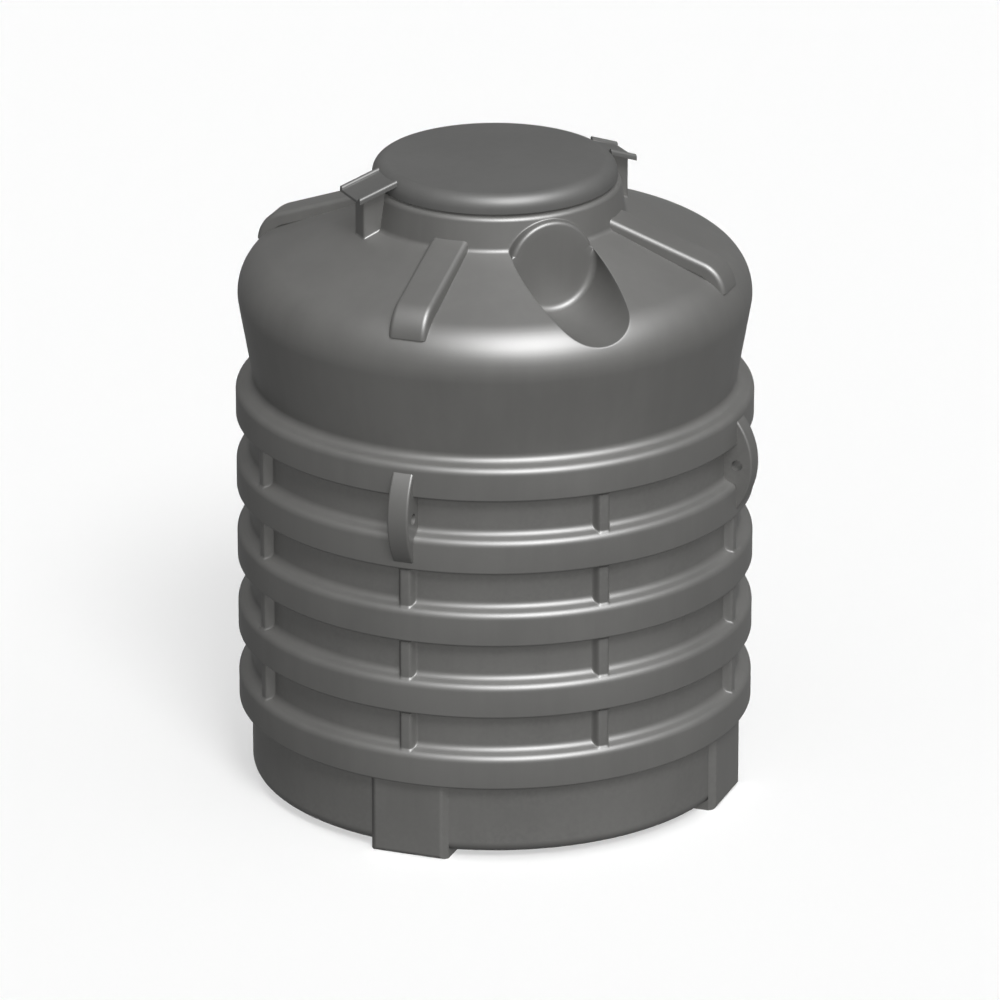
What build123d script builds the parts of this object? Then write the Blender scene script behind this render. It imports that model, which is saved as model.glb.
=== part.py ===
from build123d import *
import math
import os

# Shell
wall = 8.0
joint_land = 10.0

# Hoops and the bays between them
hoop_radius = 575.0
hoop_depth = 29.0
hoop_count = 5
hoop_pitch = 168.0
hoop_face = 72.0
lowest_hoop_top = 252.0
shelf_rise = 12.5
underside_drop = 8.0
hoop_edge_radius = 9.0
hoop_root_radius = 10.0

# Upright ribs in the bays
rib_count = 8
rib_height = 19.0
rib_face_width = 24.0
rib_foot_width = 42.0

# Base and feet
base_height = 19.0
base_corner_radius = 12.0
foot_rise = 8.0
foot_face_width = 156.0
foot_root_width = 180.0
foot_depth = 95.0
foot_edge_radius = 10.0

# Upper wall, shoulder and dome
waist_inset = 34.0
wall_lean = 8.5
shoulder_radius = 130.0
dome_slope = 19.0
dome_rise = 385.5

# Neck and manhole collar
neck_top_radius = 277.0
neck_spread = 11.0
neck_rise = 73.0
neck_root_radius = 10.0
neck_edge_radius = 7.0
collar_inset = 27.0

# Lid with its two ears, of which the left one reaches further
lid_inset = 7.0
lid_height = 42.0
lid_edge_radius = 18.0
lid_lift = 5.0
seat_gap = 0.3
ear_width = 109.0
ear_overhangs = {"left": 78.0, "right": 50.0}
ear_root_depth = 12.0
ear_slope = 18.7
ear_drop = 14.0
ear_thickness = 8.0
ear_lip_width = 8.0
ear_lip_height = 7.0
ear_lip_radius = 2.5

# Lugs that stand under the ears
lug_width = 48.0
lug_overhangs = {"left": 38.0, "right": 26.0}
lug_lid_gap = 6.0
lug_edge_radius = 5.0

# Straps that run down the dome
strap_width = 86.0
strap_rise = 11.0
strap_end_inset = 62.0
strap_toe_inset = 20.0
strap_toe_drop = 121.0
strap_edge_radius = 5.0

# Pipe ports, each a flat face at the head of a half-round trough
port_radius = 101.0
port_drop = 39.0
port_step = 10.0
port_root_radius = 15.0
port_rim_radius = 6.0

# Lifting eyes
eye_width = 48.0
eye_bow = 35.0
eye_top_drop = 19.0
eye_foot_rise = 15.0
eye_hole_radius = 12.5
eye_edge_radius = 5.0

# Places round the axis, in degrees from +X
quarter_angles = [45.0, 135.0, 225.0, 315.0]
port_angles = {"inlet": 270.0, "outlet": 90.0}
ear_angles = {"left": 180.0, "right": 0.0}

# Radii that follow
wall_radius = hoop_radius - hoop_depth
waist_radius = hoop_radius - waist_inset
neck_foot_radius = neck_top_radius + neck_spread
collar_radius = neck_top_radius - collar_inset
lid_radius = neck_top_radius - lid_inset
port_face = neck_foot_radius + port_step
far_out = 2.0 * hoop_radius
margin = 50.0

# Heights that follow
hoop_tops = [lowest_hoop_top + hoop_pitch * step for step in range(hoop_count)]
waist_height = hoop_tops[-1] + shelf_rise
neck_foot_height = waist_height + dome_rise
neck_top_height = neck_foot_height + neck_rise
lid_foot = neck_top_height + lid_lift
lid_top = lid_foot + lid_height
lid_underside = lid_top - wall
port_height = neck_foot_height - port_drop
strap_toe_height = neck_foot_height - strap_toe_drop
eye_top = hoop_tops[-1] - eye_top_drop
eye_foot = hoop_tops[-2] - hoop_face + eye_foot_rise
eye_middle = (eye_top + eye_foot) / 2


def inset(points):
    """The line one wall thickness inside an outline that is drawn upwards."""
    normals = []
    for (r0, z0), (r1, z1) in zip(points, points[1:]):
        length = math.hypot(r1 - r0, z1 - z0)
        normals.append(((z0 - z1) / length, (r1 - r0) / length))
    inner = []
    for index, (r, z) in enumerate(points):
        before = normals[max(index - 1, 0)]
        after = normals[min(index, len(normals) - 1)]
        share = wall / (1 + before[0] * after[0] + before[1] * after[1])
        inner.append((r + share * (before[0] + after[0]), z + share * (before[1] + after[1])))
    return inner


def turned(points, radii):
    """A closed outline of radius and height, with rounded corners, turned round the axis."""
    outline = FilletPolyline(*points, radius=radii, close=True)
    return revolve(Plane.XZ * make_face(outline.edges()), Axis.Z)


def shell(outline):
    """A skin of one wall thickness behind an outline of radius, height and corner radius."""
    outer = [(r, z) for r, z, _ in outline]
    outer_radii = [corner for _, _, corner in outline]
    inner_radii = [0.0]
    for index in range(1, len(outer) - 1):
        (r0, z0), (r1, z1), (r2, z2) = outer[index - 1:index + 2]
        bulges = (r1 - r0) * (z2 - z1) > (z1 - z0) * (r2 - r1)
        change = -wall if bulges else wall
        inner_radii.append(max(outer_radii[index] + change, 0.0))
    inner_radii.append(0.0)
    points = outer + inset(outer)[::-1]
    return turned(points, outer_radii + inner_radii[::-1])


def dome_height(radius):
    """Height of the dome's straight slope at a distance from the axis."""
    return neck_foot_height - (radius - neck_foot_radius) * math.tan(math.radians(dome_slope))


def shoulder_corner():
    """Where the lines of the upper wall and the dome would meet."""
    lean = math.tan(math.radians(wall_lean))
    slope = math.tan(math.radians(dome_slope))
    start = waist_radius + (dome_height(neck_foot_radius) - waist_height) * lean
    radius = (start + neck_foot_radius * slope * lean) / (1 + slope * lean)
    return radius, dome_height(radius)


def along(start, end, distance):
    """The point at a distance from the start of a line towards its end."""
    length = math.dist(start, end)
    share = distance / length
    return start[0] + (end[0] - start[0]) * share, start[1] + (end[1] - start[1]) * share


def hoop_outline(top, above):
    """Outline of one hoop, from the wall under it to the wall over it."""
    foot = top - hoop_face
    return [
        (wall_radius, foot - underside_drop - joint_land, 0.0),
        (wall_radius, foot - underside_drop, hoop_root_radius),
        (hoop_radius, foot, hoop_edge_radius),
        (hoop_radius, top, hoop_edge_radius),
        (above[0][0], above[0][1], hoop_root_radius),
        (above[1][0], above[1][1], 0.0),
    ]


def wall_over(top):
    """The two points where the wall above a hoop starts."""
    if top == hoop_tops[-1]:
        start = (waist_radius, waist_height)
        return [start, along(start, shoulder_corner(), joint_land)]
    start = (wall_radius, top + shelf_rise)
    return [start, (wall_radius, start[1] + joint_land)]


def shoulder_ends():
    """Where the shoulder's arc runs out into the upper wall and into the dome."""
    corner = shoulder_corner()
    turn = math.radians(90 + wall_lean - dome_slope)
    reach = shoulder_radius * math.tan(turn / 2)
    waist = (waist_radius, waist_height)
    neck_foot = (neck_foot_radius, neck_foot_height)
    return along(corner, waist, reach), along(corner, neck_foot, reach)


def neck_outline():
    """Outline of the neck, from the dome's end to the shelf under the lid."""
    foot = (neck_foot_radius, neck_foot_height)
    start = along(foot, shoulder_corner(), joint_land + neck_root_radius)
    return [
        (start[0], start[1], 0.0),
        (foot[0], foot[1], neck_root_radius),
        (neck_top_radius, neck_top_height, neck_edge_radius),
        (collar_radius - wall, neck_top_height, 0.0),
    ]


def whole_body():
    """The tank's outer form as one solid, which the fittings are cut against."""
    outline = [(0.0, base_height, 0.0), (wall_radius, base_height, base_corner_radius)]
    for top in hoop_tops:
        outline += hoop_outline(top, wall_over(top))[1:-1]
    corner = shoulder_corner()
    outline.append((corner[0], corner[1], shoulder_radius))
    outline += neck_outline()[1:]
    outline.append((0.0, neck_top_height, 0.0))
    return turned([(r, z) for r, z, _ in outline], [corner for _, _, corner in outline])


def slab(points, width):
    """An upright slab with a radius and height outline, centred on the plane through the axis."""
    return extrude(Plane.XZ * make_face(Polyline(*points, close=True).edges()), width / 2, both=True)


def base_floor():
    corner_top = base_height + base_corner_radius + joint_land
    return shell([
        (0.0, base_height, 0.0),
        (wall_radius, base_height, base_corner_radius),
        (wall_radius, corner_top, 0.0),
    ])


def base_wall():
    start = base_height + base_corner_radius + joint_land
    end = hoop_tops[0] - hoop_face - underside_drop - joint_land
    return shell([(wall_radius, start, 0.0), (wall_radius, end, 0.0)])


def foot_pad(angle, body):
    """A flat pad on the base wall that reaches down past the floor."""
    half_face, half_root = foot_face_width / 2, foot_root_width / 2
    root = math.sqrt(wall_radius**2 - half_root**2)
    front = wall_radius + foot_rise
    inner = front - foot_depth
    plan = make_face(Polyline(
        (inner, -half_root), (root, -half_root), (front, -half_face),
        (front, half_face), (root, half_root), (inner, half_root), close=True,
    ).edges())
    pad = extrude(plan, hoop_tops[0])
    face = pad.faces().sort_by(Axis.X)[-1]
    top = face.edges().sort_by(Axis.Z)[-1]
    pad = fillet([edge for edge in face.edges() if edge != top], foot_edge_radius)
    return Rot(0, 0, angle) * pad - body


def all_ribs(body):
    """Every rib between every pair of hoops, with sides that slope to a narrower face."""
    low, high = hoop_tops[0] - hoop_edge_radius, hoop_tops[-1] - hoop_face + hoop_edge_radius
    inner = wall_radius - wall
    rib_reach = wall_radius + rib_height
    plan = make_face(Polyline(
        (inner, -rib_foot_width / 2), (rib_reach, -rib_face_width / 2),
        (rib_reach, rib_face_width / 2), (inner, rib_foot_width / 2), close=True,
    ).edges())
    bar = extrude(Pos(0, 0, low) * plan, high - low)
    bars = Part() + [Rot(0, 0, step * 360 / rib_count) * bar for step in range(rib_count)]
    return (bars - body).solids()


def bay(index, ribs):
    """The wall between two hoops, with its ribs."""
    start = wall_over(hoop_tops[index])[1][1]
    end = hoop_tops[index + 1] - hoop_face - underside_drop - joint_land
    top_bay = index == hoop_count - 2
    mine = []
    for rib in ribs:
        centre = rib.center()
        angle = math.degrees(math.atan2(centre.Y, centre.X)) % 360
        taken = top_bay and min(abs(angle - quarter) for quarter in quarter_angles) < 1
        if start < centre.Z < end and not taken:
            mine.append(rib)
    return shell([(wall_radius, start, 0.0), (wall_radius, end, 0.0)]), mine


def port_cutter(angle):
    """The room outside a port's face that its trough takes out of the dome."""
    long = far_out - port_face
    rod = Pos(0, 0, port_height) * Rot(0, 90, 0) * Cylinder(port_radius, long)
    rod = Pos(port_face + long / 2, 0, 0) * rod
    rod = fillet(rod.edges().group_by(Axis.X)[0], port_root_radius)
    return Rot(0, 0, angle) * rod


def port_block(angle):
    """The port's trough and face with their wall, before the dome's form trims them."""
    start = port_face - wall
    long = far_out - start
    rod = Pos(start + long / 2, 0, port_height) * Rot(0, 90, 0) * Cylinder(port_radius + wall, long)
    return Rot(0, 0, angle) * rod


def port(angle, body):
    """A boss on the neck with a flat face, over a half-round trough through the dome."""
    trough = (port_block(angle) - port_cutter(angle)) & body
    inner = neck_top_radius - margin
    long = port_face - inner
    boss = Pos(inner + long / 2, 0, port_height) * Rot(0, 90, 0) * Cylinder(port_radius, long)
    boss = fillet(boss.edges().group_by(Axis.X)[-1], port_rim_radius)
    boss = Rot(0, 0, angle) * boss - body
    return trough + boss


def ear_top(radius):
    """Height of an ear's upper face at a distance from the axis."""
    root = lid_top - ear_drop
    return root - (radius - lid_radius) * math.tan(math.radians(ear_slope))


def ear_line(depth, start, end):
    """Two points at a depth under an ear's upper face, square to it."""
    drop = depth / math.cos(math.radians(ear_slope))
    return [(start, ear_top(start) - drop), (end, ear_top(end) - drop)]


def lid():
    return shell([
        (lid_radius, lid_foot, 0.0),
        (lid_radius, lid_top, lid_edge_radius),
        (0.0, lid_top, 0.0),
    ])


def lid_block():
    """The lid's outer form as one solid, which the ears are cut against."""
    return turned(
        [(0.0, lid_foot), (lid_radius, lid_foot), (lid_radius, lid_top), (0.0, lid_top)],
        [0.0, 0.0, lid_edge_radius, 0.0],
    )


def ear(side):
    """A sloping plate on the lid's edge with a raised lip along each side."""
    start = lid_radius - ear_root_depth
    end = lid_radius + ear_overhangs[side]
    plate = ear_line(0.0, start, end) + ear_line(ear_thickness, start, end)[::-1]
    lip_line = ear_line(-ear_lip_height, start, end) + ear_line(0.0, start, end)[::-1]
    lip = slab(lip_line, ear_lip_width)
    top = lip.faces().sort_by(Axis.Z)[-1]
    lip = fillet(top.edges().sort_by(Axis.X)[1:], ear_lip_radius)
    place = (ear_width - ear_lip_width) / 2
    solid = slab(plate, ear_width) + Pos(0, place, 0) * lip + Pos(0, -place, 0) * lip
    return Rot(0, 0, ear_angles[side]) * solid - lid_block()


def ear_lug(side, body):
    """An upright web on the dome and neck that carries an ear."""
    inner = lid_radius + lug_lid_gap
    reach = neck_foot_radius + lug_overhangs[side]
    points = ear_line(ear_thickness + seat_gap, inner, reach)
    points += [(reach, neck_foot_height - margin), (inner, neck_foot_height - margin)]
    web = slab(points, lug_width)
    web = fillet(web.edges().filter_by(Axis.Z).group_by(Axis.X)[-1], lug_edge_radius)
    return Rot(0, 0, ear_angles[side]) * web - body


def strap(angle, body):
    """A flat raised band that runs from the neck down to the shoulder."""
    inner = neck_top_radius - margin
    slope = math.radians(dome_slope)
    lift = strap_rise / math.cos(slope)
    far = hoop_radius - strap_end_inset
    end = (far, dome_height(far) + lift)
    start = (inner, dome_height(inner) + lift)
    toe = (hoop_radius - strap_toe_inset, strap_toe_height)
    top = Line(start, end)
    nose = TangentArc(end, toe, tangent=(math.cos(slope), -math.sin(slope)))
    under = Polyline(toe, (inner, strap_toe_height), start)
    band = extrude(Plane.XZ * make_face([top, nose, under]), strap_width / 2, both=True)
    upper = [edge for edge in band.edges() if edge.center().Z > strap_toe_height + wall]
    sides = [edge for edge in upper if edge.center().X > inner + wall and abs(edge.center().Y) > wall]
    return Rot(0, 0, angle) * fillet(sides, strap_edge_radius) - body


def lifting_eye(angle, body):
    """A bowed fin across the two top hoops with a hole for a shackle."""
    inner = wall_radius - wall
    bow = ThreePointArc(
        (hoop_radius, eye_foot), (hoop_radius + eye_bow, eye_middle), (hoop_radius, eye_top),
    )
    back = Polyline((hoop_radius, eye_top), (inner, eye_top), (inner, eye_foot), (hoop_radius, eye_foot))
    fin = extrude(Plane.XZ * make_face([bow, back]), eye_width / 2, both=True)
    fin = fillet(fin.edges().filter_by(GeomType.CIRCLE), eye_edge_radius)
    hole = Rot(90, 0, 0) * Cylinder(eye_hole_radius, far_out)
    return Rot(0, 0, angle) * (fin - Pos(hoop_radius, 0, eye_middle) * hole) - body


def save(name, solids):
    """Writes one node's file."""
    shape = Compound(children=list(solids)) if len(solids) > 1 else solids[0]
    export_step(shape, f"parts/{name}.step")


def build():
    os.makedirs("parts", exist_ok=True)
    body = whole_body()
    ribs = all_ribs(body)
    nodes = {"base_floor": base_floor(), "base_wall": base_wall()}
    for number, angle in enumerate(quarter_angles, 1):
        nodes[f"foot_{number}"] = foot_pad(angle, body)
        nodes[f"dome_strap_{number}"] = strap(angle, body)
        nodes[f"lifting_eye_{number}"] = lifting_eye(angle, body)
    for number, top in enumerate(hoop_tops, 1):
        nodes[f"hoop_{number}"] = shell(hoop_outline(top, wall_over(top)))
    for index in range(hoop_count - 1):
        tube, mine = bay(index, ribs)
        nodes[f"bay_wall_{index + 1}"] = tube + mine
    low_end, high_end = shoulder_ends()
    corner = shoulder_corner()
    wall_start = wall_over(hoop_tops[-1])[1]
    neck = neck_outline()
    nodes["upper_wall"] = shell([(*wall_start, 0.0), (*along(low_end, wall_start, joint_land), 0.0)])
    shoulder_end = along(high_end, neck[1][:2], joint_land)
    shoulder = shell([
        (*along(low_end, wall_start, joint_land), 0.0),
        (*corner, shoulder_radius),
        (*shoulder_end, 0.0),
    ])
    dome = shell([(*shoulder_end, 0.0), neck[0]])
    neck_shell = shell(neck)
    for name, angle in port_angles.items():
        shoulder -= port_block(angle)
        dome -= port_block(angle)
        neck_shell -= port_block(angle)
        nodes[f"{name}_port"] = port(angle, body)
    nodes["shoulder"] = shoulder
    nodes["neck"] = neck_shell
    for side, half in zip(("left", "right"), dome.solids().sort_by(Axis.X)):
        nodes[f"dome_{side}"] = half
    nodes["manhole_collar"] = shell([
        (collar_radius, neck_top_height, 0.0),
        (collar_radius, lid_underside - seat_gap, 0.0),
    ])
    nodes["lid"] = lid()
    for side in ear_angles:
        nodes[f"lid_ear_{side}"] = ear(side)
        nodes[f"ear_lug_{side}"] = ear_lug(side, body)
    for name, shape in nodes.items():
        save(name, shape.solids())


build()
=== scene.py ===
import math

import bmesh
import bpy
import numpy as np
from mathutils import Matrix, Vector


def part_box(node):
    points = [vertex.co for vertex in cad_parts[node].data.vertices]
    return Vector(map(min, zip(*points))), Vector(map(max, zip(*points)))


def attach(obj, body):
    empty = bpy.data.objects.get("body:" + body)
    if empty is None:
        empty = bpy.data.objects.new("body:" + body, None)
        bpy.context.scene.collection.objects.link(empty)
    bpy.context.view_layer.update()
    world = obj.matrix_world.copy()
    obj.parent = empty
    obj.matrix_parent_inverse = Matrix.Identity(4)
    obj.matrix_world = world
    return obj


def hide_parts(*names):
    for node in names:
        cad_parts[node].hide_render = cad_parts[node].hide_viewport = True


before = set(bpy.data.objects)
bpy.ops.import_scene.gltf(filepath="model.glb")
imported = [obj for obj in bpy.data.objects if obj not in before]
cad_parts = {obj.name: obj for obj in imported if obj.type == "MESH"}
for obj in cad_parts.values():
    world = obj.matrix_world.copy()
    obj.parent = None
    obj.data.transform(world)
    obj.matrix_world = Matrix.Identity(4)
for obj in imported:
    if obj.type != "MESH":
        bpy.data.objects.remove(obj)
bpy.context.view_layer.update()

# Sizes in metres and turns in radians, in the tank's own frame. A point of an outline is a radius
# and a height.
WALL = 0.008

# Hoops, each with a sloped shelf above and an underside below, and a land of plain wall at a joint
HOOP_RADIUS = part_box("hoop_1")[1].x
BAY_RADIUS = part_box("base_wall")[1].x
HOOP_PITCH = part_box("hoop_2")[0].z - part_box("hoop_1")[0].z
HOOP_FACE = 0.072
HOOP_TOP = 0.252
HOOP_COUNT = 5
SHELF_RISE = 0.0112
UNDERSIDE_DROP = 0.008
HOOP_EDGE = 0.0175
HOOP_ROOT = 0.0175
HOOP_FOOT_EDGE = 0.005
HOOP_FOOT_ROOT = 0.008
WAIST_RISE = 0.008
JOINT_LAND = 0.010
WALL_LAND = 0.014

# Base, with its floor held clear of the ground by the feet
BASE_HEIGHT = 0.015
BASE_CORNER = 0.024
BASE_WALL_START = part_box("base_wall")[0].z

# Ribs, with columns of points crowded between a share of the face and a share of the foot
RIB_COUNT = 8
RIB_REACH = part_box("bay_wall_1")[1].x
RIB_FACE = 0.024
RIB_FOOT = 0.042
RIB_BLEND = 0.010
RIB_TOP_SHARE = 0.8
RIB_FOOT_SHARE = 1.25
RIB_TOP_COLUMNS = 4
RIB_SIDE_COLUMNS = 20
RIB_GAP_COLUMNS = 14

# Upper wall, shoulder, dome and neck
WAIST_RADIUS = 0.5346
WALL_LEAN = math.radians(9.8)
SHOULDER = 0.106
DOME_SLOPE = math.radians(22.4)
NECK_FOOT = (0.288, 1.322)
NECK_ROOT = 0.014
NECK_TOP = (0.277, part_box("neck")[1].z)
NECK_EDGE = 0.012
COLLAR_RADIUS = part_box("manhole_collar")[1].x

# Straps, each a straight slope from the neck and a rounded nose on the shoulder
STRAP_WIDTH = 0.086
STRAP_RISE = 0.0196
STRAP_SLOPE = math.radians(19.0)
STRAP_END = 0.498
STRAP_TOE = (0.550, 1.2015)
STRAP_EDGE = 0.012
STRAP_DEPTH = 0.030
STRAP_START = 0.270
STRAP_STATIONS = 12
NOSE_STATIONS = 25
STRAP_BEVEL = 0.0015

# Ears of the lid, each a sloped plate with two lips
EAR_WIDTH = 2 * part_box("lid_ear_left")[1].y
EAR_REACH = {"left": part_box("lid_ear_left")[0].x, "right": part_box("lid_ear_right")[1].x}
EAR_ROOT = 0.012
EAR_SLOPE = math.radians(18.7)
EAR_DROP = 0.013
EAR_PLATE = 0.006
EAR_LIP = 0.0125
EAR_LIP_HEIGHT = 0.007
EAR_LIP_ROUND = 0.006
EAR_BEVEL = 0.0015

# Lugs on the dome, one under each ear
LUG_WIDTH = 2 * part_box("ear_lug_left")[1].y
LUG_REACH = {"left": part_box("ear_lug_left")[0].x, "right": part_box("ear_lug_right")[1].x}
LUG_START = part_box("ear_lug_right")[0].x
LUG_EDGE = 0.005
LUG_FLARE = 0.004
LUG_GAP = 0.0003
LUG_FLARE_START = 0.2
LUG_FLARE_RINGS = 5
LUG_BEVEL = 0.001

# Lid
LID_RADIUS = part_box("lid")[1].x
LID_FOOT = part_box("lid")[0].z
LID_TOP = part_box("lid")[1].z
LID_EDGE = 0.032
LID_CORNER = 0.012
LID_RIM = 0.0015

# Pipe ports, each a round face at the head of a trough, with a lip where the trough meets the skin
PORT_RADIUS = 0.101
PORT_HEIGHT = 1.283
PORT_FACE = 0.298
PORT_ROOT = 0.015
PORT_RIM = 0.009
PORT_LIP = 0.003
PORT_ROWS = 44
PORT_LIP_RINGS = 6
PORT_FILLET_RINGS = 7
PORT_SIDE_SHARES = (0.33, 0.66)
PORT_FACE_SHARES = (0.8, 0.5, 0.2, 0.0)
LOWER_ROWS = 22
RIM_ROW = 0.0004
RIM_PLAY = 1e-7
HEIGHT_DIGITS = 7

# Steps of arcs and grids, reach of the welds, and sharpness
ARC_TURN = math.radians(7.0)
ARC_STEP = 0.0045
ARC_LEAST_STEPS = 3
HALF_COLUMNS = 150
TURN_COLUMNS = 256
WELD_REACH = 2e-6
SPECK_REACH = 1e-6
LEAST_REACH = 1e-9
CREASE = math.radians(40.0)
TOP_CREASE = math.radians(60.0)
BEVEL_TURN = math.radians(50.0)
BEVEL_SEGMENTS = 3

# Turns of the straps and ears, and heights that repeat
QUARTER_TURNS = [math.radians(45.0 + 90.0 * step) for step in range(4)]
EAR_TURNS = {"left": math.pi, "right": 0.0}

HOOP_TOPS = [HOOP_TOP + HOOP_PITCH * step for step in range(HOOP_COUNT)]
WAIST = (WAIST_RADIUS, HOOP_TOPS[-1] + WAIST_RISE)

# Scales of the plastic's patterns, a metre
CLOUD_SCALE = 3.5
STREAK_SCALE = 2.2
PIT_SCALE = 95.0
GRAIN_SCALE = 420.0
STREAK_STRETCH = (14.0, 14.0, 1.6)
TONE_SPREAD = 0.07
TONE_RANGE = (0.36, 0.64)
EDGE_RANGE = (0.52, 0.60)
WORN_RANGE = (0.35, 0.65)
WORN_TONE = 1.25
WORN_SHARE = 0.35
PLASTIC_IOR = 1.5
BUMP_STRENGTH = 0.05
BUMP_DISTANCE = 0.0006

# Numbers of the colour sockets of a Mix node
MIX_MASK = 0
MIX_FIRST = 6
MIX_SECOND = 7
MIX_RESULT = 2


class Wire:
    """A socket of a material's node tree, with arithmetic that adds Math nodes."""

    def __init__(self, sheet, socket):
        self.sheet = sheet
        self.socket = socket

    def _math(self, operation, other):
        return self.sheet.node("ShaderNodeMath", {"operation": operation}, {0: self, 1: other})

    def __add__(self, other):
        return self._math("ADD", other)

    def __mul__(self, other):
        return self._math("MULTIPLY", other)

    __radd__ = __add__
    __rmul__ = __mul__

    def above(self, low, high):
        """0 under low, 1 over high and a smooth step between them."""
        return self.sheet.node(
            "ShaderNodeMapRange", {"interpolation_type": "SMOOTHSTEP"},
            {"Value": self, "From Min": low, "From Max": high},
        )


class Sheet:
    """A material's node tree with one Principled shader."""

    def __init__(self, name):
        self.material = bpy.data.materials.new(name)
        self.material.use_nodes = True
        self.tree = self.material.node_tree
        self.shader = self.tree.nodes["Principled BSDF"]

    def node(self, kind, settings=None, inputs=None, output=0):
        """Adds a node of a kind, sets its settings, feeds its sockets and returns one output."""
        made = self.tree.nodes.new(kind)
        for key, value in (settings or {}).items():
            setattr(made, key, value)
        for key, value in (inputs or {}).items():
            self.feed(made.inputs[key], value)
        return Wire(self, made.outputs[output])

    def feed(self, socket, value):
        """Links a wire to a socket, or sets the socket to a plain value."""
        if isinstance(value, Wire):
            self.tree.links.new(value.socket, socket)
        else:
            socket.default_value = value

    def blend(self, mask, first, second):
        """The first colour where the mask is 0 and the second where it is 1."""
        inputs = {MIX_MASK: mask, MIX_FIRST: first, MIX_SECOND: second}
        return self.node("ShaderNodeMix", {"data_type": "RGBA"}, inputs, output=MIX_RESULT)

    def noise(self, place, scale, detail, roughness):
        """Soft noise of about 0 to 1 at a place."""
        return self.node(
            "ShaderNodeTexNoise", None,
            {"Vector": place, "Scale": scale, "Detail": detail, "Roughness": roughness},
        )


def toned(colour, share):
    """A share of a colour, as a socket takes it."""
    return tuple(channel * share for channel in colour) + (1.0,)


def moulded_plastic(name, colour, rough, shine):
    """Rotomoulded polyethylene: a satin grey with cloudy tone, fine pitted skin and faint scuffs."""
    sheet = Sheet(name)
    place = sheet.node("ShaderNodeTexCoord", output="Object")
    stretched = sheet.node("ShaderNodeMapping", None, {"Vector": place, "Scale": STREAK_STRETCH})
    cloud = sheet.noise(place, CLOUD_SCALE, detail=4.0, roughness=0.55)
    grain = sheet.noise(place, GRAIN_SCALE, detail=2.0, roughness=0.5)
    pits = sheet.noise(place, PIT_SCALE, detail=3.0, roughness=0.6)
    streaks = sheet.noise(stretched, STREAK_SCALE, detail=5.0, roughness=0.6)

    tone = 0.6 * cloud + 0.25 * streaks + 0.15 * grain
    base = sheet.blend(
        tone.above(*TONE_RANGE), toned(colour, 1 - TONE_SPREAD), toned(colour, 1 + TONE_SPREAD)
    )
    edge = sheet.node("ShaderNodeNewGeometry", output="Pointiness").above(*EDGE_RANGE)
    scuffed = edge * pits.above(*WORN_RANGE) * WORN_SHARE
    sheet.feed(sheet.shader.inputs["Base Color"], sheet.blend(scuffed, base, toned(colour, WORN_TONE)))

    cloud_rough, grain_rough = 0.06, 0.05
    least_rough = rough - (cloud_rough + grain_rough) / 2
    varied_rough = cloud_rough * cloud + grain_rough * grain + least_rough
    sheet.feed(sheet.shader.inputs["Roughness"], varied_rough)
    sheet.shader.inputs["IOR"].default_value = PLASTIC_IOR
    sheet.shader.inputs["Specular IOR Level"].default_value = shine

    bump = sheet.node("ShaderNodeBump", None, {
        "Height": 0.7 * pits + 0.3 * grain, "Strength": BUMP_STRENGTH, "Distance": BUMP_DISTANCE,
    })
    sheet.feed(sheet.shader.inputs["Normal"], bump)
    return sheet.material


def rounded(corners):
    """A line through corners of radius, height and rounding. Each rounded corner becomes an arc
    tangent to both its sides: its centre lies on the bisector, and its points turn evenly."""
    points = np.array([corner[:2] for corner in corners], float)
    line = [points[:1]]
    for before, here, after, corner in zip(points, points[1:], points[2:], corners[1:-1]):
        if corner[2] == 0:
            line.append(here[None])
            continue
        back = (before - here) / np.linalg.norm(before - here)
        on = (after - here) / np.linalg.norm(after - here)
        turn = np.arccos(np.clip(-(back @ on), -1, 1))
        reach = corner[2] * np.tan(turn / 2)
        middle = (back + on) / np.linalg.norm(back + on)
        centre = here + middle * corner[2] / np.cos(turn / 2)
        steps = max(
            ARC_LEAST_STEPS, math.ceil(turn / ARC_TURN), math.ceil(turn * corner[2] / ARC_STEP)
        )
        share = np.linspace(0, 1, steps + 1)[:, None]
        start, end = here + back * reach - centre, here + on * reach - centre
        swing = np.sin((1 - share) * turn) * start + np.sin(share * turn) * end
        line.append(centre + swing / np.sin(turn))
    line.append(points[-1:])
    return np.concatenate(line)


def inset(corners):
    """The corners of the line one wall inside an outline that is drawn upwards, in the same order.
    An outward corner's rounding shrinks by the wall, and an inward corner's grows by it."""
    points = np.array([corner[:2] for corner in corners], float)
    steps = np.diff(points, axis=0)
    normals = np.stack([-steps[:, 1], steps[:, 0]], 1) / np.linalg.norm(steps, axis=1)[:, None]
    before = np.concatenate([normals[:1], normals])
    after = np.concatenate([normals, normals[-1:]])
    share = WALL / (1 + (before * after).sum(1))
    moved = points + share[:, None] * (before + after)
    bulge = before[:, 0] * after[:, 1] - before[:, 1] * after[:, 0]
    sizes = [
        0.0 if corner[2] == 0 else max(corner[2] - math.copysign(WALL, side), 0.0)
        for corner, side in zip(corners, bulge)
    ]
    return [(r, z, size) for (r, z), size in zip(moved, sizes)]


def quads(rows, columns, closed_rows=False, closed_columns=True):
    """Four-sided faces between neighbouring rows and columns of a grid of points."""
    row = np.arange(rows if closed_rows else rows - 1)[:, None]
    column = np.arange(columns if closed_columns else columns - 1)[None, :]
    next_row, next_column = (row + 1) % rows, (column + 1) % columns
    corners = (
        row * columns + column, row * columns + next_column,
        next_row * columns + next_column, next_row * columns + column,
    )
    return np.stack(corners, -1).reshape(-1, 4)


def round_grid(radii, heights, angles):
    """Points at radius r, height z and angle a: (r cos a, r sin a, z)."""
    radii, heights, angles = np.broadcast_arrays(radii, heights, angles)
    return np.stack([radii * np.cos(angles), radii * np.sin(angles), heights], -1)


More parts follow.
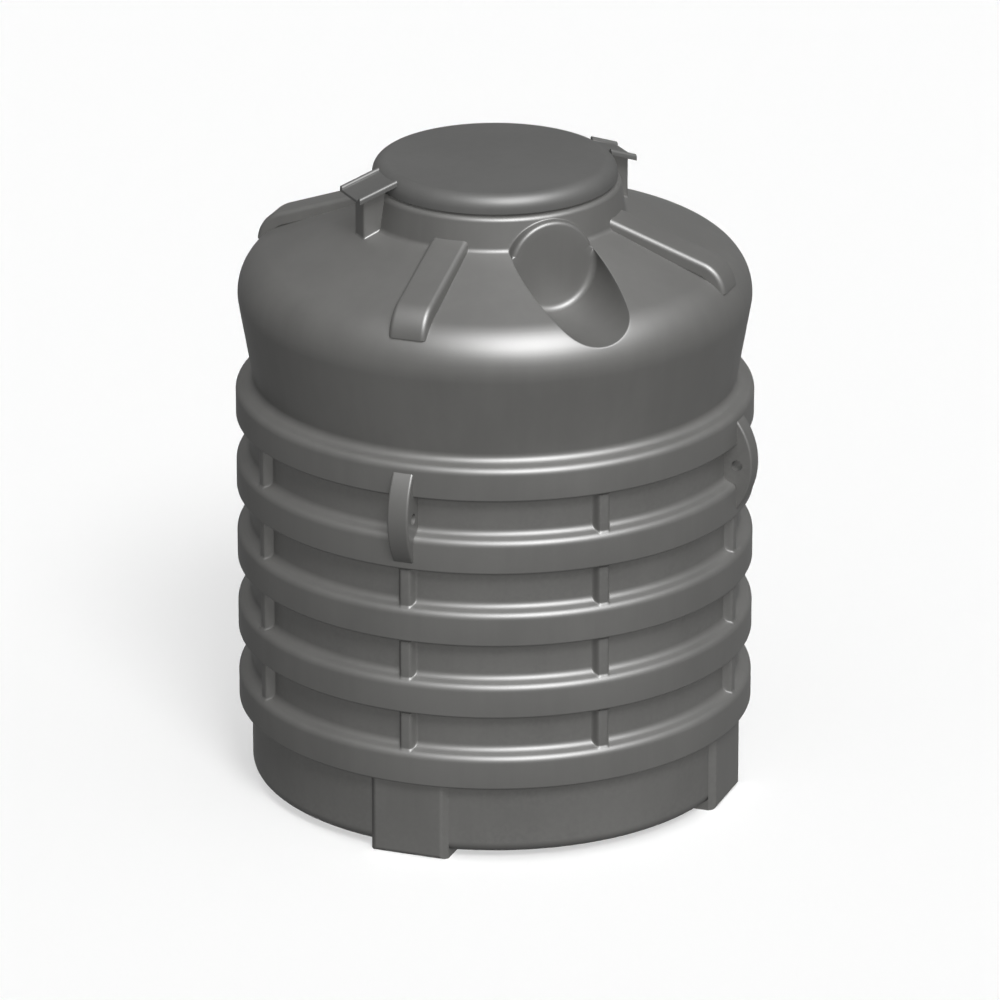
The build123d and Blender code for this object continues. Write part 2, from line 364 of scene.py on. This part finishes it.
def add_piece(name, points, faces, body, nodes, slot, material, crease=CREASE, weld=False):
    """A mesh of points and faces, turned outward and smooth up to a crease, as a piece that rides a
    body in place of its nodes. It may be welded where its grids meet."""
    mesh = bpy.data.meshes.new(name)
    mesh.from_pydata(points, [], faces)
    shape = bmesh.new()
    shape.from_mesh(mesh)
    if weld:
        bmesh.ops.remove_doubles(shape, verts=shape.verts, dist=WELD_REACH)
        bmesh.ops.dissolve_degenerate(shape, edges=shape.edges, dist=SPECK_REACH)
    bmesh.ops.recalc_face_normals(shape, faces=shape.faces)
    shape.to_mesh(mesh)
    shape.free()
    mesh.polygons.foreach_set("use_smooth", np.ones(len(mesh.polygons), bool))
    mesh.set_sharp_from_angle(angle=crease)
    piece = bpy.data.objects.new(name, mesh)
    bpy.context.scene.collection.objects.link(piece)
    piece.data.materials.append(material)
    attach(piece, body)
    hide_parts(*nodes)
    return piece


def joined(parts):
    """The points and faces of several grids as one list of each."""
    sizes = [grid.size // 3 for grid, _ in parts]
    starts = np.cumsum([0, *sizes[:-1]])
    points = np.concatenate([grid.reshape(-1, 3) for grid, _ in parts])
    faces = np.concatenate([grid_faces + start for (_, grid_faces), start in zip(parts, starts)])
    return points, faces


def turned(name, corners, body, nodes, slot, material):
    """A solid of revolution: a line that runs from the axis to the axis, set at every angle."""
    line = rounded(corners)
    angles = np.linspace(0, 2 * np.pi, TURN_COLUMNS, endpoint=False)
    grid = round_grid(line[:, :1], line[:, 1:], angles[None, :])
    faces = quads(len(line), TURN_COLUMNS)
    add_piece(name, grid.reshape(-1, 3), faces, body, nodes, slot, material, weld=True)


def hoop_corners(index):
    """The outer outline of one hoop, from the wall under it to the wall over it."""
    top = HOOP_TOPS[index]
    foot = top - HOOP_FACE
    over = (BAY_RADIUS, top + SHELF_RISE)
    rise = (0.0, WALL_LAND)
    if index == HOOP_COUNT - 1:
        over = WAIST
        rise = (WALL_LAND * math.sin(WALL_LEAN), WALL_LAND * math.cos(WALL_LEAN))
    return [
        (BAY_RADIUS, foot - UNDERSIDE_DROP - JOINT_LAND, 0.0),
        (BAY_RADIUS, foot - UNDERSIDE_DROP, HOOP_FOOT_ROOT),
        (HOOP_RADIUS, foot, HOOP_FOOT_EDGE),
        (HOOP_RADIUS, top, HOOP_EDGE),
        (*over, HOOP_ROOT),
        (over[0] + rise[0], over[1] + rise[1], 0.0),
    ]


def bay_corners(index):
    """The outer outline of the wall between two hoops."""
    start = HOOP_TOPS[index] + SHELF_RISE + WALL_LAND
    end = HOOP_TOPS[index + 1] - HOOP_FACE - UNDERSIDE_DROP - JOINT_LAND
    return [(BAY_RADIUS, start, 0.0), (BAY_RADIUS, (start + end) / 2, 0.0), (BAY_RADIUS, end, 0.0)]


def wall_angles():
    """Angles of the wall's columns: close together on each rib's sides, wide between the ribs."""
    half_face, half_foot = RIB_FACE / 2 / RIB_REACH, RIB_FOOT / 2 / BAY_RADIUS
    near, far = half_face * RIB_TOP_SHARE, half_foot * RIB_FOOT_SHARE
    half_sector = np.pi / RIB_COUNT
    offsets = np.concatenate([
        np.linspace(0, near, RIB_TOP_COLUMNS)[:-1],
        np.linspace(near, far, RIB_SIDE_COLUMNS)[:-1],
        np.linspace(far, half_sector, RIB_GAP_COLUMNS),
    ])
    sector = np.concatenate([-offsets[:0:-1], offsets])[:-1]
    centres = np.arange(RIB_COUNT) * 2 * half_sector
    return (centres[:, None] + sector[None, :]).reshape(-1), np.tile(sector, RIB_COUNT)


def smooth_least(first, second, reach):
    """The lesser of two values, rounded off where they differ by less than reach."""
    gap = np.maximum(reach - np.abs(first - second), 0)
    return np.minimum(first, second) - gap**2 / (4 * np.maximum(reach, LEAST_REACH))


def rib_radius(offset):
    """How far a rib reaches at an angle off its middle: a flat face square to its middle line,
    and two straight sides that run from the face's edge to the wider foot inside the wall."""
    offset = np.abs(offset)
    face = RIB_REACH / np.cos(offset)
    inner = BAY_RADIUS - WALL
    across, down = (RIB_FOOT - RIB_FACE) / 2, RIB_REACH - inner
    along = across * np.cos(offset) + down * np.sin(offset)
    side = (across * RIB_REACH + down * RIB_FACE / 2) / along
    return smooth_least(face, side, RIB_BLEND)


def wall_band(name, corners, nodes, material, ribs=True):
    """A stretch of the round wall: the outline's radius at each height, raised smoothly to the
    ribs' radius at their angles, with a plain inner face one wall behind it. The ribs end inside
    the lowest and the highest hoop, and the lifting eyes take the place of every other one in the
    highest bay."""
    outer, inner = rounded(corners), rounded(inset(corners))[::-1]
    angles, offsets = wall_angles()
    radius = np.repeat(outer[:, :1], len(angles), 1)
    if ribs:
        rib = np.repeat(rib_radius(offsets)[None, :], len(outer), 0)
        sector = np.round(angles / (2 * np.pi / RIB_COUNT)).astype(int)
        under_eye = (sector % 2 == 1)[None, :] & (outer[:, 1:] > HOOP_TOPS[-2] - HOOP_FACE / 2)
        low, high = (HOOP_TOPS[end] - HOOP_FACE / 2 for end in (0, -1))
        rib = np.where(under_eye | (outer[:, 1:] < low) | (outer[:, 1:] > high), 0, rib)
        reach = RIB_BLEND * np.clip((HOOP_RADIUS - radius) / RIB_BLEND, 0, 1)
        radius = -smooth_least(-radius, -rib, reach)
    outside = round_grid(radius, outer[:, 1:], angles[None, :])
    inside = round_grid(inner[:, :1], inner[:, 1:], angles[None, :])
    grid = np.concatenate([outside, inside])
    faces = quads(len(grid), len(angles), closed_rows=True)
    add_piece(
        name, grid.reshape(-1, 3), faces, "tank", nodes, "tank_plastic", material, weld=True
    )


def shoulder_corner():
    """Where the straight lines of the upper wall and the dome would meet."""
    lean, slope = math.tan(WALL_LEAN), math.tan(DOME_SLOPE)
    start = WAIST[0] + (NECK_FOOT[1] - WAIST[1]) * lean
    radius = (start + NECK_FOOT[0] * slope * lean) / (1 + slope * lean)
    return radius, NECK_FOOT[1] - (radius - NECK_FOOT[0]) * slope


def top_line():
    """The outline of upper wall, shoulder, dome and neck, up to the shelf under the lid."""
    corner = shoulder_corner()
    start = (
        WAIST[0] + WALL_LAND * math.sin(WALL_LEAN), WAIST[1] + WALL_LAND * math.cos(WALL_LEAN), 0.0
    )
    return rounded([
        start, (*corner, SHOULDER), (*NECK_FOOT, NECK_ROOT), (*NECK_TOP, NECK_EDGE),
        (COLLAR_RADIUS - WALL, NECK_TOP[1], 0.0),
    ])


def top_rows(line):
    """The outline with the heights added at which the ports' rims pass, and how many of its rows
    lie up to just over the rims, where each height has one radius. A row close over the first
    keeps the shading of the lower edge's rim off the wall."""
    rim = PORT_RADIUS + PORT_LIP
    sweep = np.linspace(0, np.pi, PORT_ROWS + 1)
    rising = line[line[:, 1] < PORT_HEIGHT + rim + RIM_ROW]
    rest = line[len(rising):]
    heights = np.unique(np.round(np.concatenate([
        rising[:, 1], PORT_HEIGHT - rim * np.cos(sweep),
        np.linspace(rising[0, 1], PORT_HEIGHT - rim, LOWER_ROWS), [rising[0, 1] + RIM_ROW],
    ]), HEIGHT_DIGITS))
    radii = np.interp(heights, line[: len(rising) + 1, 1], line[: len(rising) + 1, 0])
    return np.concatenate([np.stack([radii, heights], 1), rest]), len(heights)


def port_grid(rows, turn):
    """One port: rings from its rim on the tank's skin, round a small lip, along the cylinder to
    the face, round the fillet where they meet and in to the face's middle. The cylinder runs out
    from the face under the dome, and back from it on the neck, so the fillet's size has the sign
    of that distance."""
    rim = PORT_RADIUS + PORT_LIP
    inside = np.abs(rows[:, 1] - PORT_HEIGHT) <= rim + RIM_PLAY
    heights = rows[inside, 1]
    angle = np.arccos(np.clip((PORT_HEIGHT - heights) / rim, -1, 1))
    angle = np.concatenate([angle, 2 * np.pi - angle[-2:0:-1]])

    def on_skin(radius):
        across, height = radius * np.sin(angle), PORT_HEIGHT - radius * np.cos(angle)
        skin = np.interp(height, rows[:, 1], rows[:, 0])
        return across, np.sqrt(skin**2 - across**2), height

    first, edge = np.array(on_skin(rim)), np.array(on_skin(PORT_RADIUS))
    depth = edge[1] - PORT_FACE
    lip_end = edge.copy()
    lip_end[1] -= np.clip(depth * 0.5, -PORT_LIP, PORT_LIP)
    fillet = np.clip(depth * 0.5, -PORT_RIM, PORT_ROOT)
    rings = [
        (1 - t) ** 2 * first + 2 * t * (1 - t) * edge + t**2 * lip_end
        for t in np.linspace(0, 1, PORT_LIP_RINGS)
    ]
    for share in PORT_SIDE_SHARES:
        ring = lip_end.copy()
        ring[1] += (PORT_FACE + fillet - lip_end[1]) * share
        rings.append(ring)

    def ring_at(radius, out):
        return np.stack([radius * np.sin(angle), out, PORT_HEIGHT - radius * np.cos(angle)])

    for quarter in np.linspace(0, np.pi / 2, PORT_FILLET_RINGS):
        radius = PORT_RADIUS - np.abs(fillet) * (1 - np.cos(quarter))
        rings.append(ring_at(radius, PORT_FACE + fillet * (1 - np.sin(quarter))))
    last = PORT_RADIUS - np.abs(fillet)
    for share in PORT_FACE_SHARES:
        rings.append(ring_at(last * share, np.full(len(angle), PORT_FACE)))
    across, out, height = np.stack(rings, 1)
    turned_x = out * math.cos(turn) - across * math.sin(turn)
    turned_y = out * math.sin(turn) + across * math.cos(turn)
    grid = np.stack([turned_x, turned_y, height], -1)
    return grid, quads(grid.shape[0], grid.shape[1])


def tank_top(material):
    """Upper wall, shoulder, dome and neck as one skin with both ports let into it. Each half runs
    from one port to the other, and its columns start at the port's rim, whose half width at a
    height is that of a circle."""
    rows, rising = top_rows(top_line())
    rim = PORT_RADIUS + PORT_LIP
    half_width = np.sqrt(np.maximum(rim**2 - (rows[:, 1] - PORT_HEIGHT) ** 2, 0))
    edge = np.arcsin(np.minimum(half_width / rows[:, 0], 1))[:, None]
    share = np.linspace(0, 1, HALF_COLUMNS + 1)[None, :]
    parts = []
    for turn in (-np.pi / 2, np.pi / 2):
        angles = turn + edge + share * (np.pi - 2 * edge)
        grid = round_grid(rows[:, :1], rows[:, 1:], angles)
        parts.append((grid, quads(len(rows), HALF_COLUMNS + 1, closed_columns=False)))
        parts.append(port_grid(rows[:rising], turn))
    nodes = ["upper_wall", "shoulder", "dome_left", "dome_right", "neck", "inlet_port", "outlet_port"]
    piece = add_piece(
        "tank_top", *joined(parts), "tank", nodes, "tank_plastic", material, TOP_CREASE, weld=True
    )
    thick = piece.modifiers.new("wall", "SOLIDIFY")
    thick.thickness = WALL
    thick.offset = -1.0


def swept(name, rings, body, slot, material, edge):
    """A bar of closed rings of points, one at each station, with a flat end on the first and the
    last, and its sharp edges bevelled. It stands for the node of its name."""
    stations, around = rings.shape[:2]
    faces = quads(stations, around).tolist()
    faces += [list(range(around)), list(range((stations - 1) * around, stations * around))]
    piece = add_piece(name, rings.reshape(-1, 3), faces, body, [name], slot, material)
    bevel = piece.modifiers.new("edges", "BEVEL")
    bevel.width = edge
    bevel.segments = BEVEL_SEGMENTS
    bevel.limit_method = "ANGLE"
    bevel.angle_limit = BEVEL_TURN


def turned_about(radii, across, heights, turn):
    """Points at a radius, a distance across it and a height, turned about the axis."""
    radii, across, heights = np.broadcast_arrays(radii, across, heights)
    return np.stack([
        radii * math.cos(turn) - across * math.sin(turn),
        radii * math.sin(turn) + across * math.cos(turn), heights,
    ], -1)


def strap_path():
    """Radius and height along a strap's top: a straight slope, then an arc tangent to it that
    ends at the toe."""
    slope = np.array([math.cos(STRAP_SLOPE), -math.sin(STRAP_SLOPE)])

    def on_slope(radius):
        drop = (radius - NECK_FOOT[0]) * math.tan(STRAP_SLOPE)
        return np.array([radius, NECK_FOOT[1] + STRAP_RISE - drop])

    start, end, toe = on_slope(STRAP_START), on_slope(STRAP_END), np.array(STRAP_TOE)
    inward = np.array([slope[1], -slope[0]])
    chord = toe - end
    size = (chord @ chord) / (2 * (chord @ inward))
    centre = end + inward * size
    first, last = (math.atan2(*(point - centre)[::-1]) for point in (end, toe))
    angles = np.linspace(first, last, NOSE_STATIONS)[:, None]
    nose = centre + size * np.concatenate([np.cos(angles), np.sin(angles)], 1)
    straight = start + (end - start) * np.linspace(0, 1, STRAP_STATIONS)[:-1, None]
    return np.concatenate([straight, nose])


def strap_rings(turn):
    """A cross-section with two rounded upper corners, set square to the path at each station."""
    path = strap_path()
    step = np.gradient(path, axis=0)
    outward = np.stack([-step[:, 1], step[:, 0]], 1) / np.linalg.norm(step, axis=1)[:, None]
    half = STRAP_WIDTH / 2
    section = rounded([
        (-half, -STRAP_DEPTH, 0.0), (-half, 0.0, STRAP_EDGE),
        (half, 0.0, STRAP_EDGE), (half, -STRAP_DEPTH, 0.0),
    ])
    place = path[:, None, :] + outward[:, None, :] * section[None, :, 1:]
    return turned_about(place[..., 0], section[None, :, 0], place[..., 1], turn)


def ear_rings(reach, turn):
    """A channel: a plate with a lip along each side, swept down the ear's slope."""
    half = EAR_WIDTH / 2
    section = rounded([
        (-half, -EAR_PLATE, 0.0), (-half, EAR_LIP_HEIGHT, EAR_LIP_ROUND),
        (EAR_LIP - half, EAR_LIP_HEIGHT, EAR_LIP_ROUND), (EAR_LIP - half, 0.0, 0.0),
        (half - EAR_LIP, 0.0, 0.0), (half - EAR_LIP, EAR_LIP_HEIGHT, EAR_LIP_ROUND),
        (half, EAR_LIP_HEIGHT, EAR_LIP_ROUND), (half, -EAR_PLATE, 0.0),
    ])
    radii = np.array([LID_RADIUS - EAR_ROOT, reach])[:, None]
    top = LID_TOP - EAR_DROP - (radii - LID_RADIUS) * math.tan(EAR_SLOPE)
    heights = top + section[None, :, 1] / math.cos(EAR_SLOPE)
    return turned_about(radii, section[None, :, 0], heights, turn)


def lug_rings(reach, turn):
    """An upright web whose plan is a rectangle with two rounded outer corners. Near the dome it
    widens along a quarter of a circle, and its top follows the ear's underside."""
    quarter = np.linspace(LUG_FLARE_START, np.pi / 2, LUG_FLARE_RINGS)
    widened = LUG_FLARE * (1 - np.sqrt(1 - (1 - np.sin(quarter)) ** 2))
    levels = [-LUG_FLARE, *LUG_FLARE * np.sin(quarter)]
    rings = []
    for level, wider in zip(levels, [LUG_FLARE, *widened]):
        half, end = LUG_WIDTH / 2 + wider, reach + wider
        plan = rounded([
            (LUG_START, -half, 0.0), (end, -half, LUG_EDGE),
            (end, half, LUG_EDGE), (LUG_START, half, 0.0),
        ])
        away = np.hypot(plan[:, 0], plan[:, 1])
        heights = NECK_FOOT[1] - (away - NECK_FOOT[0]) * math.tan(DOME_SLOPE) + level
        rings.append(turned_about(plan[:, 0], plan[:, 1], heights, turn))
    under = (EAR_PLATE + LUG_GAP) / math.cos(EAR_SLOPE)
    heights = LID_TOP - EAR_DROP - under - (plan[:, 0] - LID_RADIUS) * math.tan(EAR_SLOPE)
    rings.append(turned_about(plan[:, 0], plan[:, 1], heights, turn))
    return np.stack(rings)


def finish_node(name, material):
    """Gives a node of the frame the finish, in place of its own."""
    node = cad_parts[name]
    node.data.materials.clear()
    node.data.materials.append(material)


def build_tank(plastic):
    """Floor, wall, hoops, top, straps and lugs, from the ground up."""
    inner = BAY_RADIUS - WALL
    turned("tank_floor", [
        (0.0, BASE_HEIGHT, 0.0), (BAY_RADIUS, BASE_HEIGHT, BASE_CORNER),
        (BAY_RADIUS, BASE_WALL_START, 0.0), (inner, BASE_WALL_START, 0.0),
        (inner, BASE_HEIGHT + WALL, BASE_CORNER - WALL), (0.0, BASE_HEIGHT + WALL, 0.0),
    ], "tank", ["base_floor"], "tank_plastic", plastic)
    end = hoop_corners(0)[0][1]
    middle = (BASE_WALL_START + end) / 2
    base = [(BAY_RADIUS, height, 0.0) for height in (BASE_WALL_START, middle, end)]
    wall_band("tank_base_wall", base, ["base_wall"], plastic, ribs=False)
    for index in range(HOOP_COUNT):
        number = index + 1
        wall_band(f"tank_hoop_{number}", hoop_corners(index), [f"hoop_{number}"], plastic)
        if number < HOOP_COUNT:
            wall_band(f"tank_bay_{number}", bay_corners(index), [f"bay_wall_{number}"], plastic)
    tank_top(plastic)
    for number, turn in enumerate(QUARTER_TURNS, 1):
        rings = strap_rings(turn)
        swept(f"dome_strap_{number}", rings, "tank", "tank_plastic", plastic, STRAP_BEVEL)
    for side, turn in EAR_TURNS.items():
        rings = lug_rings(abs(LUG_REACH[side]), turn)
        swept(f"ear_lug_{side}", rings, "tank", "tank_plastic", plastic, LUG_BEVEL)


def build_lid(plastic):
    """The lid as a hollow cap, and its two ears."""
    inner = LID_RADIUS - WALL
    turned("lid_cover", [
        (0.0, LID_TOP - WALL, 0.0), (inner, LID_TOP - WALL, LID_CORNER),
        (inner, LID_FOOT, LID_RIM), (LID_RADIUS, LID_FOOT, LID_RIM),
        (LID_RADIUS, LID_TOP, LID_EDGE), (0.0, LID_TOP, 0.0),
    ], "lid", ["lid"], "lid_plastic", plastic)
    for side, turn in EAR_TURNS.items():
        rings = ear_rings(abs(EAR_REACH[side]), turn)
        swept(f"lid_ear_{side}", rings, "lid", "lid_plastic", plastic, EAR_BEVEL)


# Camera, fitted to the hoops' edges in the picture
CAMERA_TURN = math.radians(-114.8)
CAMERA_RISE = math.radians(20.94)
CAMERA_DISTANCE = 17.25
CAMERA_LENS_SHARE = 7.7247
CAMERA_AIM = 0.588
CAMERA_SIGHT = 100.0
FRAME_PIXELS = 1000.0
CENTRE_PIXEL = (495.0, 520.5)

# Lamps, with turn, rise and width in degrees
LAMPS = {
    "key": {"turn": -99.0, "rise": 46.0, "strength": 2.2, "width": 10.0},
    "shade": {"turn": -99.0, "rise": 46.0, "strength": 0.9, "width": 20.0},
    "sheen": {"turn": -86.0, "rise": 56.0, "strength": 13.5, "width": 46.0},
}
SKY = 0.27
WHITE = (1.0, 1.0, 1.0, 1.0)
FLOOR_REACH = 200.0
FLOOR_ROUGH = 0.9


def toward(turn, rise):
    """The unit vector at a turn about the axis and a rise from the ground."""
    level = math.cos(rise)
    return Vector((math.cos(turn) * level, math.sin(turn) * level, math.sin(rise)))


def place_camera():
    """A long lens at the fitted angle, moved sideways in its own plane so that the tank's axis
    lands where the picture has it."""
    camera = bpy.data.objects.new("camera", bpy.data.cameras.new("camera"))
    bpy.context.scene.collection.objects.link(camera)
    away = toward(CAMERA_TURN, CAMERA_RISE)
    camera.rotation_euler = away.to_track_quat("Z", "Y").to_euler()
    turn = camera.rotation_euler.to_matrix()
    per_pixel = CAMERA_DISTANCE / (CAMERA_LENS_SHARE * FRAME_PIXELS)
    right = (FRAME_PIXELS / 2 - CENTRE_PIXEL[0]) * per_pixel
    up = (CENTRE_PIXEL[1] - FRAME_PIXELS / 2) * per_pixel
    aim = Vector((0, 0, CAMERA_AIM))
    camera.location = aim + away * CAMERA_DISTANCE + turn @ Vector((right, up, 0))
    camera.data.lens = camera.data.sensor_width * CAMERA_LENS_SHARE
    camera.data.clip_end = CAMERA_SIGHT
    bpy.context.scene.camera = camera


def sun(name, turn, rise, strength, width):
    """A distant lamp at a turn and a rise, seen from the tank."""
    lamp = bpy.data.lights.new(name, "SUN")
    lamp.energy = strength
    lamp.angle = math.radians(width)
    holder = bpy.data.objects.new(name, lamp)
    away = toward(math.radians(turn), math.radians(rise))
    holder.rotation_euler = away.to_track_quat("Z", "Y").to_euler()
    bpy.context.scene.collection.objects.link(holder)
    return holder


def light_scene():
    """A key from the front whose shadow is laid by a weaker lamp beside it, a broad sheen lamp that
    only the gloss answers to, and an even sky."""
    lamps = {name: sun(name, **numbers) for name, numbers in LAMPS.items()}
    lamps["key"].data.use_shadow = False
    lamps["sheen"].visible_diffuse = False
    world = bpy.data.worlds.new("sky")
    bpy.context.scene.world = world
    world.use_nodes = True
    sky = world.node_tree.nodes["Background"]
    sky.inputs["Color"].default_value = WHITE
    sky.inputs["Strength"].default_value = SKY


def lay_floor():
    """A plain white floor under the feet that takes the shadow and throws no light back up."""
    sheet = Sheet("floor")
    sheet.shader.inputs["Base Color"].default_value = WHITE
    sheet.shader.inputs["Roughness"].default_value = FLOOR_ROUGH
    sheet.shader.inputs["Specular IOR Level"].default_value = 0.0
    mesh = bpy.data.meshes.new("floor")
    reach = FLOOR_REACH
    corners = [(-reach, -reach, 0), (reach, -reach, 0), (reach, reach, 0), (-reach, reach, 0)]
    mesh.from_pydata(corners, [], [(0, 1, 2, 3)])
    floor = bpy.data.objects.new("floor", mesh)
    floor.visible_diffuse = False
    floor.visible_glossy = False
    bpy.context.scene.collection.objects.link(floor)
    mesh.materials.append(sheet.material)


place_camera()
light_scene()
lay_floor()
grey = moulded_plastic("tank_grey", colour=(0.115, 0.114, 0.109), rough=0.49, shine=0.6)
lid_grey = moulded_plastic("lid_grey", colour=(0.107, 0.107, 0.104), rough=0.49, shine=0.33)
build_tank(grey)
build_lid(lid_grey)
for node_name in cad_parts:
    finish_node(node_name, lid_grey if node_name.startswith("lid") else grey)

bpy.context.scene.view_settings.view_transform = "Standard"
